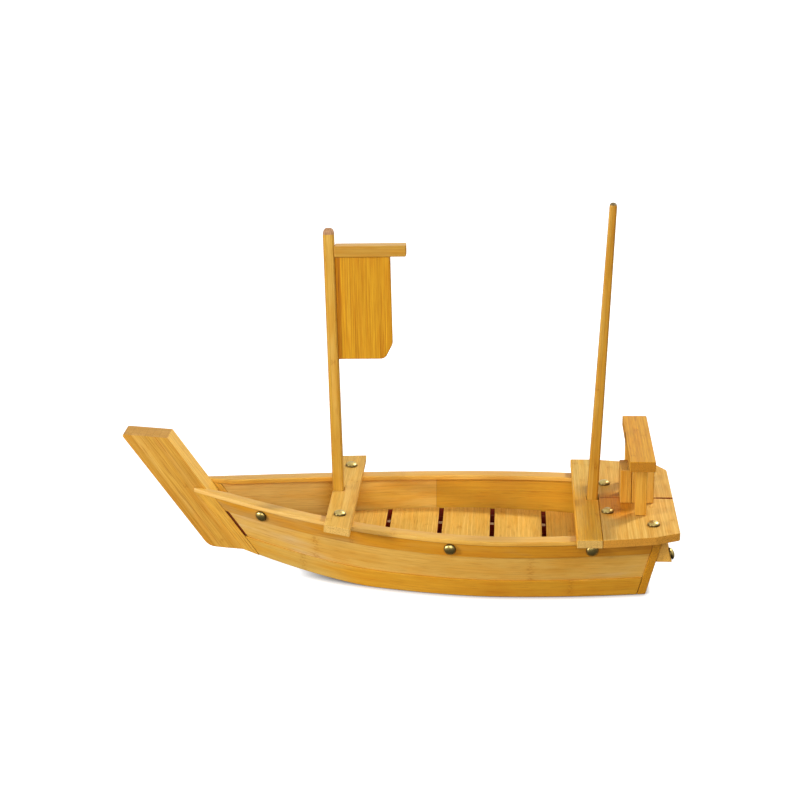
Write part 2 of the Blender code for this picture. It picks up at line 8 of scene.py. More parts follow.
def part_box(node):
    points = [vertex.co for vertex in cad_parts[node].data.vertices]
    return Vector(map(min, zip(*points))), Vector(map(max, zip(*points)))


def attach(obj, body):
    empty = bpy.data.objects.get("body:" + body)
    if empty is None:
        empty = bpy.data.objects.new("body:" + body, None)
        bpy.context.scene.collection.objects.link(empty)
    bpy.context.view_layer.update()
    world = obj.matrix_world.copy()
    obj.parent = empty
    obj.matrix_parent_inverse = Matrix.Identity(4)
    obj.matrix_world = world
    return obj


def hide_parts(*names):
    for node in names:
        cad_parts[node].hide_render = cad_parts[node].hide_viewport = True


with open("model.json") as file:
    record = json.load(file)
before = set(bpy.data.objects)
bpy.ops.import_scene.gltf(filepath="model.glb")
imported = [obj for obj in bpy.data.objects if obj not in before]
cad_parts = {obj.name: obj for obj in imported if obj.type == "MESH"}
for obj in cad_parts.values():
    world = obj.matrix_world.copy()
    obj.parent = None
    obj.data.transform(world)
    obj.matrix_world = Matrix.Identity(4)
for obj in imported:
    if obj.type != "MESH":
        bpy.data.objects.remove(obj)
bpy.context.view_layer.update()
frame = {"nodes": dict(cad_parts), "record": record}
nodes = frame["nodes"]
bodies = frame["record"]["behaviour"]["bodies"]
bodyOfNode = {name: body for body, names in bodies.items() for name in names}
print("frame loaded,", len(nodes), "nodes")


# camera at the photograph's place, for a square picture
cameraSettings = {
    "place": (0.1081, -1.5947, 0.7049),
    "down": 18.69,        # degrees below the horizon
    "turn": -3.775,
    "roll": 0.923,
    "lens": 81.0,
    "sensor": 36.0,
    "farClip": 100.0,
}


def setCamera(s):
    down, turn, roll = (math.radians(s[key]) for key in ("down", "turn", "roll"))
    ahead = Vector((math.sin(turn) * math.cos(down), math.cos(turn) * math.cos(down), -math.sin(down)))
    level = Vector((math.cos(turn), -math.sin(turn), 0))
    below = ahead.cross(level)
    right = level * math.cos(roll) + below * math.sin(roll)
    up = level * math.sin(roll) - below * math.cos(roll)
    data = bpy.data.cameras.new("camera")
    data.sensor_width = s["sensor"]
    data.lens = s["lens"]
    data.clip_end = s["farClip"]
    camera = bpy.data.objects.new("camera", data)
    bpy.context.scene.collection.objects.link(camera)
    turned = Matrix((right, up, -ahead)).transposed()
    camera.matrix_world = Matrix.Translation(s["place"]) @ turned.to_4x4()
    bpy.context.scene.camera = camera


setCamera(cameraSettings)
bpy.context.scene.view_settings.view_transform = "Standard"
print("camera set")


# small helpers for node trees
def put(tree, kind, inputs=None, **settings):
    node = tree.nodes.new(kind)
    for key, value in settings.items():
        setattr(node, key, value)
    for key, value in (inputs or {}).items():
        if isinstance(value, bpy.types.NodeSocket):
            tree.links.new(value, node.inputs[key])
        else:
            node.inputs[key].default_value = value
    return node


def calc(tree, operation, *values, clamp=False):
    node = put(tree, "ShaderNodeMath", dict(enumerate(values)), operation=operation, use_clamp=clamp)
    return node.outputs[0]


def soft(tree, value, low, high, start=0.0, end=1.0):
    inputs = {"Value": value, "From Min": low, "From Max": high, "To Min": start, "To Max": end}
    return put(tree, "ShaderNodeMapRange", inputs, interpolation_type="SMOOTHSTEP").outputs[0]


def blendColour(tree, factor, a, b, way="MIX"):
    node = put(tree, "ShaderNodeMix", data_type="RGBA", blend_type=way)
    for socket, value in zip((node.inputs[0], node.inputs[6], node.inputs[7]), (factor, a, b)):
        if isinstance(value, bpy.types.NodeSocket):
            tree.links.new(value, socket)
        else:
            socket.default_value = value
    return node.outputs[2]


def vector(tree, x, y, z):
    return put(tree, "ShaderNodeCombineXYZ", {0: x, 1: y, 2: z}).outputs[0]


def vectorCalc(tree, operation, inputs, output=0):
    return put(tree, "ShaderNodeVectorMath", inputs, operation=operation).outputs[output]


def noise(tree, at, detail=2.0, rough=0.5):
    inputs = {"Vector": at, "Scale": 1.0, "Detail": detail, "Roughness": rough}
    return put(tree, "ShaderNodeTexNoise", inputs).outputs["Fac"]


def newGroup(name, inputs, outputs):
    group = bpy.data.node_groups.new(name, "ShaderNodeTree")
    for title, (kind, value) in inputs.items():
        socket = group.interface.new_socket(title, in_out="INPUT", socket_type="NodeSocket" + kind)
        if value is not None:
            socket.default_value = value
    for title, kind in outputs.items():
        group.interface.new_socket(title, in_out="OUTPUT", socket_type="NodeSocket" + kind)
    return group, group.nodes.new("NodeGroupInput").outputs, group.nodes.new("NodeGroupOutput").inputs


# bamboo: strips glued side by side, with fibres, dark flecks, knuckles and browner end grain, and painted
# light and shade on chosen faces
bambooTints = {                  # each multiplies the colour of the wood
    "blush": (1.0, 0.80, 0.42, 1),
    # painted shadow of the deckhouse on the deck
    "spot": (0.90, 0.62, 0.20, 1),
    "fleck": (0.62, 0.44, 0.28, 1),
    "knuckleRing": (0.88, 0.78, 0.55, 1),
    "knuckle": (0.62, 0.42, 0.2, 1),
    "glue": (0.42, 0.26, 0.12, 1),
    "endDots": (0.45, 0.36, 0.25, 1),
    # painted shade, for gaps, slots and recesses and the front mast's fore faces
    "slot": (0.34, 0.045, 0.010, 1),
}
bambooCells = {                  # noise cells to the metre, along the grain and across it
    "drift": (16.0, 70.0),
    "blush": (22.0, 130.0),
    "streak": (10.0, 620.0),
    "fine": (46.0, 1500.0),
    "dashAcross": 1250.0,
    "knuckleWave": (60.0, 330.0),
    "knuckleDash": (420.0, 900.0),
    "endDots": (30.0, 1300.0),
}
bambooReach = {                  # metres from full strength to none
    "knuckle": (0.0006, 0.0042),
    "knuckleRing": (0.001, 0.010),
    "knuckleWave": 0.009,        # how far a knuckle wanders along the grain
    "butt": (0.0001, 0.0006),
    "glue": (0.00005, 0.00032),
}
bambooBands = {                  # level of noise from none to full strength
    "blush": (0.42, 0.68),
    "fleck": (0.56, 0.72),
    "knuckleDash": (0.44, 0.60),
    "endDots": (0.45, 0.65),
    "wornGlue": (0.3, 0.6),
}
bambooShares = {                 # how much each effect counts
    "stripTone": 0.75, "driftTone": 1.3, "streak": 1.1, "fine": 0.9, "knuckleRing": 0.35, "butt": 0.3,
    "wornGlue": 0.35, "endDots": 0.5, "endGlue": 0.8, "roughFine": 0.16, "roughEnd": 0.18, "roughGlue": 0.15,
    "heightGrain": 0.35, "heightGlue": -0.55, "heightFleck": -0.3, "heightKnuckle": -0.25,
}
fibrePowers = (1.5, 2.4)         # green and blue darken faster than red, so dark fibres are browner
shadowPatchStretch = (1.0, 0.5, 1.0)    # the painted shadow patch is twice as long across the boat as along it
endGlueTone = (0.10, 0.04, 0.008, 1)
stripShift = 40.0                # most that a strip's noise is moved along it, in cells
stripSteps = (3.1, 5.7)          # how far apart the drift of neighbouring strips and plies lies, in cells


def bambooGroup():
    plain = (0.5, 0.3, 0.1, 1)
    tree, given, result = newGroup("bambooStrips", {
        "Grain": ("Vector", None), "End": ("Float", 0.0), "Strip": ("Float", 0.006), "Ply": ("Float", 0.006),
        "Pale": ("Color", plain), "Body": ("Color", plain), "Deep": ("Color", plain),
        "End Tone": ("Color", plain), "Contrast": ("Float", 1.0), "Fibre": ("Float", 0.3),
        "Fleck": ("Float", 0.4), "Seam": ("Float", 0.4), "Knuckle": ("Float", 0.5),
        "Knuckle Every": ("Float", 0.24), "Knuckle At": ("Float", 0.0), "Knuckle Spread": ("Float", 1.0),
        "Rough": ("Float", 0.4), "Dash": ("Float", 120.0), "Joint At": ("Float", 9.0),
        "Joint Lift": ("Float", 0.0), "Fade From": ("Float", 0.0), "Fade To": ("Float", 1.0),
        "Fade Lift": ("Float", 0.0), "Slot": ("Float", 0.0), "Bleach": ("Float", 0.0),
        "Bleached": ("Color", plain), "Blush": ("Float", 0.5), "Spot": ("Vector", None),
        "Spot Reach": ("Float", 0.001), "Spot Warmth": ("Float", 0.0),
    }, {"Color": "Color", "Roughness": "Float", "Height": "Float"})
    cells, reach, bands, share = bambooCells, bambooReach, bambooBands, bambooShares
    parts = put(tree, "ShaderNodeSeparateXYZ", {0: given["Grain"]}).outputs
    along, wide, deep = parts[0], parts[1], parts[2]

    def grainAt(perMetre, shift):
        lengthwise, across = perMetre
        return vector(tree, calc(tree, "MULTIPLY_ADD", along, lengthwise, shift),
                      calc(tree, "MULTIPLY", wide, across), calc(tree, "MULTIPLY", deep, across))

    def centred(value):
        return calc(tree, "SUBTRACT", value, 0.5)

    def tinted(amount, colour, name):
        tint = blendColour(tree, 1.0, colour, bambooTints[name], "MULTIPLY")
        return blendColour(tree, amount, colour, tint)

    # which strip a point lies in, and what is particular to that strip
    stripAt = calc(tree, "DIVIDE", wide, given["Strip"])
    plyAt = calc(tree, "DIVIDE", deep, given["Ply"])
    stripNo, plyNo = calc(tree, "FLOOR", stripAt), calc(tree, "FLOOR", plyAt)
    stripKey = vector(tree, stripNo, plyNo, 0.37)                     # any third number would do
    luck = put(tree, "ShaderNodeTexWhiteNoise", {"Vector": stripKey}, noise_dimensions="3D")
    own = luck.outputs["Value"]
    ownParts = put(tree, "ShaderNodeSeparateColor", {0: luck.outputs["Color"]}).outputs
    shift = calc(tree, "MULTIPLY", ownParts[0], stripShift)

    # tone of the strip, drifting slowly along it
    driftAlong, driftAcross = cells["drift"]
    driftX = calc(tree, "MULTIPLY_ADD", along, driftAlong, shift)
    driftY = calc(tree, "MULTIPLY_ADD", stripNo, stripSteps[0], calc(tree, "MULTIPLY", wide, driftAcross))
    driftZ = calc(tree, "MULTIPLY_ADD", plyNo, stripSteps[1], calc(tree, "MULTIPLY", deep, driftAcross))
    drift = noise(tree, vector(tree, driftX, driftY, driftZ))
    mood = calc(tree, "ADD", calc(tree, "MULTIPLY", centred(own), share["stripTone"]),
                calc(tree, "MULTIPLY", centred(drift), share["driftTone"]))
    fore = calc(tree, "LESS_THAN", along, given["Joint At"])          # a butt joint of two lengths of plank
    faded = soft(tree, along, given["Fade From"], given["Fade To"])    # paler toward one end: painted light, for ends that the lamps light more
    level = calc(tree, "MULTIPLY_ADD", faded, given["Fade Lift"], 0.5)
    level = calc(tree, "MULTIPLY_ADD", fore, given["Joint Lift"], level)
    tone = calc(tree, "MULTIPLY_ADD", mood, given["Contrast"], level, clamp=True)
    low = blendColour(tree, soft(tree, tone, 0.0, 0.5), given["Deep"], given["Body"])
    colour = blendColour(tree, soft(tree, tone, 0.5, 1.0), low, given["Pale"])
    # painted light and shade: chosen faces take the painted tone, paler on faces the lamps light and deeper
    # on shaded ones
    colour = blendColour(tree, given["Bleach"], colour, given["Bleached"])

    # patches of a warmer hue
    blushAt = grainAt(cells["blush"], calc(tree, "MULTIPLY", shift, 0.1))
    blush = soft(tree, noise(tree, blushAt, 3.0, 0.6), *bands["blush"])
    colour = tinted(calc(tree, "MULTIPLY", blush, given["Blush"]), colour, "blush")

    # painted shadow: a warm, deeper patch where the deckhouse casts its shadow on the deck
    place = put(tree, "ShaderNodeTexCoord").outputs["Object"]
    offset = vectorCalc(tree, "SUBTRACT", {0: place, 1: given["Spot"]})
    offset = vectorCalc(tree, "MULTIPLY", {0: offset, 1: shadowPatchStretch})
    fromShadowPatch = vectorCalc(tree, "LENGTH", {0: offset}, "Value")
    core = calc(tree, "MULTIPLY", given["Spot Reach"], 0.5)
    spot = soft(tree, fromShadowPatch, core, given["Spot Reach"], 1.0, 0.0)
    colour = tinted(calc(tree, "MULTIPLY", spot, given["Spot Warmth"]), colour, "spot")

    # fibres: broad streaks, fine lines and short dark flecks
    streak = noise(tree, grainAt(cells["streak"], shift), 2.0)
    fine = noise(tree, grainAt(cells["fine"], shift), 3.0, 0.6)
    grainSum = calc(tree, "ADD", calc(tree, "MULTIPLY", centred(streak), share["streak"]),
                    calc(tree, "MULTIPLY", centred(fine), share["fine"]))
    shade = calc(tree, "MULTIPLY_ADD", grainSum, given["Fibre"], 1.0)
    warmShade = vector(tree, shade, *(calc(tree, "POWER", shade, power) for power in fibrePowers))
    colour = vectorCalc(tree, "MULTIPLY", {0: colour, 1: warmShade})
    dashAt = grainAt((given["Dash"], cells["dashAcross"]), shift)
    dash = soft(tree, noise(tree, dashAt, 1.0), *bands["fleck"])
    fleck = calc(tree, "MULTIPLY", dash, given["Fleck"])
    colour = tinted(fleck, colour, "fleck")

    # knuckles of the cane: a patch of short broken dashes in a slightly deeper tone
    start = calc(tree, "MULTIPLY_ADD", ownParts[1], given["Knuckle Spread"], given["Knuckle At"])
    turnsOf = calc(tree, "DIVIDE", calc(tree, "SUBTRACT", along, start), given["Knuckle Every"])
    apart = calc(tree, "ABSOLUTE", calc(tree, "SUBTRACT", turnsOf, calc(tree, "ROUND", turnsOf)))
    wave = centred(noise(tree, grainAt(cells["knuckleWave"], 0.0), 2.0))
    wave = calc(tree, "MULTIPLY", wave, reach["knuckleWave"])
    fromKnuckle = calc(tree, "ABSOLUTE", calc(tree, "MULTIPLY_ADD", apart, given["Knuckle Every"], wave))
    broken = soft(tree, noise(tree, grainAt(cells["knuckleDash"], shift), 2.0), *bands["knuckleDash"])
    knuckle = calc(tree, "MULTIPLY", soft(tree, fromKnuckle, *reach["knuckle"], 1.0, 0.0), given["Knuckle"])
    knuckle = calc(tree, "MULTIPLY", knuckle, broken)
    ring = calc(tree, "MULTIPLY", soft(tree, fromKnuckle, *reach["knuckleRing"], 1.0, 0.0), given["Knuckle"])
    colour = tinted(calc(tree, "MULTIPLY", ring, share["knuckleRing"]), colour, "knuckleRing")
    colour = tinted(knuckle, colour, "knuckle")

    # glue lines between strips
    def edgeOf(at, size):
        part = calc(tree, "FRACT", at)
        return calc(tree, "MULTIPLY", calc(tree, "MINIMUM", part, calc(tree, "SUBTRACT", 1.0, part)), size)

    nearest = calc(tree, "MINIMUM", edgeOf(stripAt, given["Strip"]), edgeOf(plyAt, given["Ply"]))
    fromJoint = calc(tree, "ABSOLUTE", calc(tree, "SUBTRACT", along, given["Joint At"]))
    butt = soft(tree, fromJoint, *reach["butt"], share["butt"], 0.0)
    line = soft(tree, nearest, *reach["glue"], 1.0, 0.0)
    worn = soft(tree, drift, *bands["wornGlue"], share["wornGlue"], 1.0)
    glue = calc(tree, "MULTIPLY", calc(tree, "MULTIPLY", line, given["Seam"]), worn)
    colour = tinted(calc(tree, "MAXIMUM", glue, butt), colour, "glue")

    # end grain shows the cut bundles as dots
    dots = soft(tree, noise(tree, grainAt(cells["endDots"], 0.0), 1.0), *bands["endDots"])
    endColour = tinted(calc(tree, "MULTIPLY", dots, share["endDots"]), given["End Tone"], "endDots")
    endColour = blendColour(tree, calc(tree, "MULTIPLY", glue, share["endGlue"]), endColour, endGlueTone)
    colour = blendColour(tree, given["End"], colour, endColour)
    # painted shade: faces in gaps, slots and recesses are darkened to a deep red-brown
    colour = tinted(given["Slot"], colour, "slot")

    rough = calc(tree, "MULTIPLY_ADD", centred(fine), share["roughFine"], given["Rough"])
    rough = calc(tree, "MULTIPLY_ADD", given["End"], share["roughEnd"], rough)
    rough = calc(tree, "MULTIPLY_ADD", glue, share["roughGlue"], rough, clamp=True)
    height = calc(tree, "MULTIPLY_ADD", grainSum, share["heightGrain"], 0.5)
    height = calc(tree, "MULTIPLY_ADD", line, share["heightGlue"], height)
    height = calc(tree, "MULTIPLY_ADD", fleck, share["heightFleck"], height)
    height = calc(tree, "MULTIPLY_ADD", knuckle, share["heightKnuckle"], height)
    for title, value in (("Color", colour), ("Roughness", rough), ("Height", height)):
        tree.links.new(value, result[title])
    return tree


bambooStrips = bambooGroup()


# finishes: what each kind of board changes in the plain bamboo
def tones(pale, body, deep):
    return {"Pale": (*pale, 1), "Body": (*body, 1), "Deep": (*deep, 1)}


woodBase = {
    "Strip": 0.0055, "Ply": 0.006, "Contrast": 0.8, "Fibre": 0.28, "Fleck": 0.35, "Seam": 0.3, "Dash": 60.0,
    "Knuckle": 0.45, "Knuckle Every": 0.25, "Knuckle At": 0.0, "Knuckle Spread": 0.25, "Rough": 0.40,
    # the painted light tone below is used for the paler top of the yard
    "End Tone": (0.54, 0.255, 0.034, 1), "Bleached": (0.80, 0.50, 0.140, 1), "Gloss": 0.2, "Blush": 0.4,
    **tones((0.74, 0.400, 0.070), (0.66, 0.320, 0.034), (0.55, 0.230, 0.015)),
}
plankBase = {
    # painted light: the planks grow paler toward the bow
    "Strip": 0.060, "Ply": 0.05, "Seam": 0.0, "Knuckle Spread": 0.0, "Fade From": 0.06, "Fade To": -0.11,
}
railBase = {**plankBase, "Strip": 0.030, "Knuckle": 0.3, "Fleck": 0.2, "Fade Lift": 0.15}
thwartBase = {
    "Strip": 0.0056, "Ply": 0.009, "Fleck": 0.3, "Contrast": 0.5, "Fibre": 0.45, "Rough": 0.5,
    "End Tone": (0.68, 0.41, 0.105, 1),
}
stickBase = {"Strip": 0.0045, "Ply": 0.0095}
deepTones = tones((0.69, 0.36, 0.035), (0.61, 0.29, 0.018), (0.52, 0.21, 0.009))
finishes = {
    "middlePlank": {
        **plankBase, "Knuckle At": 0.125, "Knuckle Every": 0.20, "Fade Lift": 0.22,
        # painted shade tone for the middle strake's top edge, under the sheer strake
        "Bleached": (0.46, 0.22, 0.022, 1),
        **tones((0.61, 0.415, 0.192), (0.66, 0.37, 0.070), (0.58, 0.28, 0.030)),
    },
    "sheerPlank": {
        **plankBase, "Knuckle At": -0.040, "Knuckle Every": 0.30, "Fade Lift": 0.32,
        **tones((0.47, 0.290, 0.092), (0.58, 0.245, 0.012), (0.50, 0.19, 0.007)),
    },
    "lowerPlank": {
        **plankBase, "Knuckle At": 0.162, "Fade Lift": 0.42,
        **tones((0.61, 0.370, 0.078), (0.65, 0.308, 0.020), (0.57, 0.24, 0.012)),
    },
    "farPlank": {
        **plankBase, "Knuckle At": 0.180, "Joint At": 0.033, "Joint Lift": 0.29, "Contrast": 0.45,
        # painted light: the far wall is paler toward the bow, where the lamp behind lights it
        "Fade From": -0.065, "Fade To": -0.10, "Fade Lift": 0.4,
        **tones((0.82, 0.51, 0.120), (0.65, 0.325, 0.020), (0.57, 0.255, 0.012)),
    },
    "railBamboo": {
        # the painted light tone of the port cap's outer face toward the bow
        **railBase, "Bleached": (0.71, 0.43, 0.122, 1),
        **tones((0.78, 0.49, 0.118), (0.695, 0.392, 0.066), (0.60, 0.29, 0.033)),
    },
    "farRailBamboo": {
        # the painted light tone of the starboard cap's inner face toward the bow
        **railBase, "Bleached": (0.90, 0.48, 0.060, 1),
        **tones((0.78, 0.48, 0.122), (0.69, 0.380, 0.072), (0.60, 0.29, 0.036)),
    },
    "stemBamboo": {
        "Strip": 0.0052, "Ply": 0.0065, "Fleck": 0.75, "Contrast": 0.6, "Dash": 34.0, "Fibre": 0.55,
        "Blush": 0.6, "Fade From": 0.17, "Fade To": 0.24, "Fade Lift": 0.2,
        # the painted light tone below is for the stem's aft faces, paler where the lamp behind lights them
        "End Tone": (0.50, 0.24, 0.032, 1), "Bleached": (0.84, 0.50, 0.078, 1),
        **tones((0.76, 0.44, 0.085), (0.68, 0.365, 0.050), (0.55, 0.255, 0.020)),
    },
    "deckBamboo": {
        "Strip": 0.0056, "Ply": 0.009, "Fleck": 0.2, "Contrast": 0.35, "Seam": 0.15, "Gloss": 0.08,
        "Fibre": 0.55, "Rough": 0.5, "End Tone": (0.66, 0.295, 0.037, 1),
        # painted shadow of the deckhouse on the deck, beside its pier
        "Spot": (0.205, -0.018, 0.0676), "Spot Reach": 0.022, "Spot Warmth": 1.0,
        **tones((0.77, 0.48, 0.130), (0.68, 0.395, 0.088), (0.58, 0.29, 0.040)),
    },
    "thwartBamboo": {
        **thwartBase, "Gloss": 0.1,
        **tones((0.74, 0.45, 0.110), (0.69, 0.40, 0.080), (0.58, 0.28, 0.030)),
    },
    "aftThwartBamboo": {
        # painted light: the far end of the aft thwart is paler
        **thwartBase, "Gloss": 0.08, "Fade From": -0.02, "Fade To": 0.05, "Fade Lift": 0.3,
        **tones((0.64, 0.400, 0.096), (0.76, 0.380, 0.034), (0.62, 0.28, 0.018)),
    },
    "floorBamboo": {
        "Strip": 0.0060, "Ply": 0.007, "Fleck": 0.4, "Contrast": 0.4, "Seam": 0.12, "Gloss": 0.1,
        # the painted light tone of the aft slats, lifted against the aft thwart's shadow
        "Fibre": 0.5, "Bleached": (0.94, 0.52, 0.090, 1),
        **tones((0.84, 0.53, 0.140), (0.76, 0.44, 0.085), (0.65, 0.34, 0.045)),
    },
    "sailBamboo": {
        "Strip": 0.0046, "Ply": 0.006, "Contrast": 0.45, "Fibre": 0.6, "Knuckle": 0.0, "Fleck": 0.6,
        # painted shadow tone: the deep orange strip that the front mast shades on the sail
        "Dash": 20.0, "Bleached": (0.62, 0.225, 0.004, 1),
        **tones((0.69, 0.36, 0.024), (0.615, 0.288, 0.010), (0.52, 0.21, 0.006)),
    },
    "mastBamboo": {
        **stickBase, "Fleck": 0.3, "End Tone": (0.50, 0.27, 0.13, 1),
        **tones((0.69, 0.41, 0.085), (0.60, 0.32, 0.036), (0.50, 0.23, 0.015)),
    },
    "rearMastBamboo": {
        **stickBase, "Fleck": 0.3, "End Tone": (0.22, 0.155, 0.060, 1),
        **tones((0.60, 0.33, 0.050), (0.52, 0.25, 0.020), (0.44, 0.18, 0.009)),
    },
    "yardBamboo": {
        **stickBase, "Fleck": 0.1, "Contrast": 0.3, "Seam": 0.1,
        **tones((0.60, 0.34, 0.065), (0.52, 0.27, 0.036), (0.44, 0.20, 0.015)),
    },
    # the bearers, with a painted light tone on their tops, which show in the floor's gaps
    "bearerBamboo": {"Bleached": (0.90, 0.72, 0.50, 1)},
    "houseBamboo": {
        "Strip": 0.0060, "Ply": 0.006, "Fibre": 0.42, "End Tone": (0.76, 0.40, 0.065, 1),
        **tones((0.78, 0.45, 0.085), (0.69, 0.36, 0.048), (0.58, 0.26, 0.020)),
    },
    "roofBamboo": {
        "Strip": 0.0060, "Ply": 0.006, "Contrast": 0.5, "Gloss": 0.1, "Fibre": 0.55,
        "End Tone": (0.52, 0.21, 0.016, 1), **deepTones,
    },
    "transomBamboo": {
        "Strip": 0.0056, "Ply": 0.009, "Fleck": 0.3, "End Tone": (0.62, 0.26, 0.008, 1), **deepTones,
    },
}
lacquer = {"share": 0.25, "roughness": 0.22}      # a thin coat that goes with the gloss
relief = {"Strength": 0.35, "Distance": 0.0003}


def bambooMaterial(name, changes):
    material = bpy.data.materials.new(name)
    material.use_nodes = True
    tree = material.node_tree
    shader = tree.nodes["Principled BSDF"]
    values = {**woodBase, **changes}
    gloss = values.pop("Gloss")
    shader.inputs["Specular IOR Level"].default_value = gloss
    shader.inputs["Coat Weight"].default_value = gloss * lacquer["share"]
    shader.inputs["Coat Roughness"].default_value = lacquer["roughness"]
    wood = put(tree, "ShaderNodeGroup", node_tree=bambooStrips)
    for socket, attribute, output in (("Grain", "grain", "Vector"), ("End", "endGrain", "Fac"),
                                      ("Slot", "inSlot", "Fac"), ("Bleach", "bleach", "Fac")):
        reader = put(tree, "ShaderNodeAttribute", attribute_name=attribute)
        tree.links.new(reader.outputs[output], wood.inputs[socket])
    for key, value in values.items():
        wood.inputs[key].default_value = value
    bump = put(tree, "ShaderNodeBump", {**relief, "Height": wood.outputs["Height"]})
    tree.links.new(wood.outputs["Color"], shader.inputs["Base Color"])
    tree.links.new(wood.outputs["Roughness"], shader.inputs["Roughness"])
    tree.links.new(bump.outputs["Normal"], shader.inputs["Normal"])
    return material


bamboo = {name: bambooMaterial(name, changes) for name, changes in finishes.items()}
print("bamboo finishes made,", len(bamboo))


# lines of the hull, which the grain of planks and rails follows
hullLines = {
    "railTop": 0.0593, "railFlatX": 0.110, "railRise": 0.0146, "railCurve": 1.85, "capThick": 0.0043,
    "rockerX": -0.025, "rockerRise": 0.0150, "rockerCurve": 1.35, "bowX": -0.140, "depth": 0.055,
    "widestX": 0.097, "sternX": 0.240,
    # half breadths amidships, at the bow and at the stern, and the curve of the bow
    "sheer": (0.0895, 0.0367, 0.0735, 1.75),
    "chine": (0.0795, 0.0180, 0.0680, 1.72),
    "grainShift": (0, 0.001, 0.01),
}


def hullShare(x, z):
    s = hullLines
    rise = np.clip((s["railFlatX"] - x) / (s["railFlatX"] - s["bowX"]), 0, None) ** s["railCurve"]
    top = s["railTop"] + s["railRise"] * rise - s["capThick"]
    bend = np.clip((s["rockerX"] - x) / (s["rockerX"] - s["bowX"]), 0, None) ** s["rockerCurve"]
    low = s["rockerRise"] * bend
    return (z - low) / (top - low)


def hullHalf(x, line):
    s = hullLines
    wide, bow, stern, fullness = s[line]
    fore = np.clip((s["widestX"] - x) / (s["widestX"] - s["bowX"]), 0, None) ** fullness
    aft = np.clip((x - s["widestX"]) / (s["sternX"] - s["widestX"]), 0, None) ** 2
    return wide - (wide - bow) * fore - (wide - stern) * aft


def grainPlaces(points, along):
    x, y, z = points.T
    if along == "cap":
        return np.stack([x, hullHalf(x, "sheer") - np.abs(y), z - hullLines["railTop"]], 1)
    if along == "hull":
        share = hullShare(x, z)
        chine = hullHalf(x, "chine")
        skin = chine + (hullHalf(x, "sheer") - chine) * share
        return np.stack([x, share * hullLines["depth"], skin - np.abs(y)], 1) + hullLines["grainShift"]
    lengthwise, sideways = (np.array(v, float) / np.linalg.norm(v) for v in along)
    through = np.cross(lengthwise, sideways)
    return points @ np.stack([lengthwise, sideways, through], 1)


# boards: each is the solid's own shape with eased edges, and carries the run of its grain
alongX = ((1, 0, 0), (0, 0, 1))                   # the way of the grain, then the way from strip to strip
alongXFlat = ((1, 0, 0), (0, 1, 0))
alongY = ((0, 1, 0), (1, 0, 0))
alongYTall = ((0, 1, 0), (0, 0, 1))
upright = ((0, 0, 1), (1, 0, 0))
raked = ((-0.672, 0, 1), (1, 0, 0.672))
boardSettings = {                                 # finish, slot, grain, and width of the eased edges
    "stem_post": ("stemBamboo", "bamboo", raked, 0.0),
    "stem_cheek_*": ("stemBamboo", "bamboo", raked, 0.0005),
    "lower_strake_port": ("lowerPlank", "bamboo_deep", "hull", 0.0010),
    "middle_strake_port": ("middlePlank", "bamboo", "hull", 0.0),
    "sheer_strake_port": ("sheerPlank", "bamboo_deep", "hull", 0.0004),
    "lower_strake_starboard": ("lowerPlank", "bamboo_deep", "hull", 0.0010),
    "middle_strake_starboard": ("farPlank", "bamboo", "hull", 0.0),
    "sheer_strake_starboard": ("farPlank", "bamboo_deep", "hull", 0.0004),
    "rail_cap_port": ("railBamboo", "bamboo_pale", "cap", 0.0),
    "rail_cap_starboard": ("farRailBamboo", "bamboo_pale", "cap", 0.0),
    "bottom_board": ("lowerPlank", "bamboo", alongXFlat, 0.0006),
    "transom": ("transomBamboo", "bamboo_deep", alongYTall, 0.0),
    "stern_beam": ("houseBamboo", "bamboo", alongYTall, 0.0),
    "front_thwart": ("thwartBamboo", "bamboo_pale", alongY, 0.0),
    "aft_thwart": ("aftThwartBamboo", "bamboo_pale", alongY, 0.0),
    "deck_plank_*": ("deckBamboo", "bamboo_pale", alongY, 0.0),
    "deck_beam": ("deckBamboo", "bamboo", alongYTall, 0.0),
    "floor_bearer_*": ("bearerBamboo", "bamboo", alongX, 0.0004),
    "floor_slat_*": ("floorBamboo", "bamboo_pale", alongY, 0.0),
    "house_pier_*": ("houseBamboo", "bamboo", upright, 0.0),
    "house_post_*": ("houseBamboo", "bamboo", upright, 0.0),
    "house_roof": ("roofBamboo", "bamboo_pale", alongY, 0.0),
    "front_mast": ("mastBamboo", "bamboo", ((-0.011, 0, 1), (1, 0, 0.011)), 0.0005),
    "rear_mast": ("rearMastBamboo", "bamboo", ((0.049, 0, 1), (1, 0, -0.049)), 0.0004),
    "yard": ("yardBamboo", "bamboo_pale", alongX, 0.0),
    "sail_board": ("sailBamboo", "bamboo", upright, 0.0),
}
easing = {"segments": 2, "fromAngle": 32.0, "smoothUnder": 52.0, "merge": 0.00001, "flat": 0.2}
stripsApart = 7                                   # boards take their grain from places this many strips apart
endFacing = (0.6, 0.9)                            # from side grain to end grain, by the way a face looks


def takeUp(piece):
    bpy.ops.object.select_all(action="DESELECT")
    piece.select_set(True)
    bpy.context.view_layer.objects.active = piece


def applyModifier(piece, kind, **settings):
    takeUp(piece)
    bpy.ops.object.modifier_add(type=kind)
    modifier = piece.modifiers[-1]
    for key, value in settings.items():
        setattr(modifier, key, value)
    bpy.ops.object.modifier_apply(modifier=modifier.name)


def pieceName(nodeName):
    first, *others = nodeName.split("_")
    return first + "".join(word.capitalize() for word in others)


def readVectors(items, key):
    values = np.empty(len(items) * 3)
    items.foreach_get(key, values)
    return values.reshape(-1, 3)


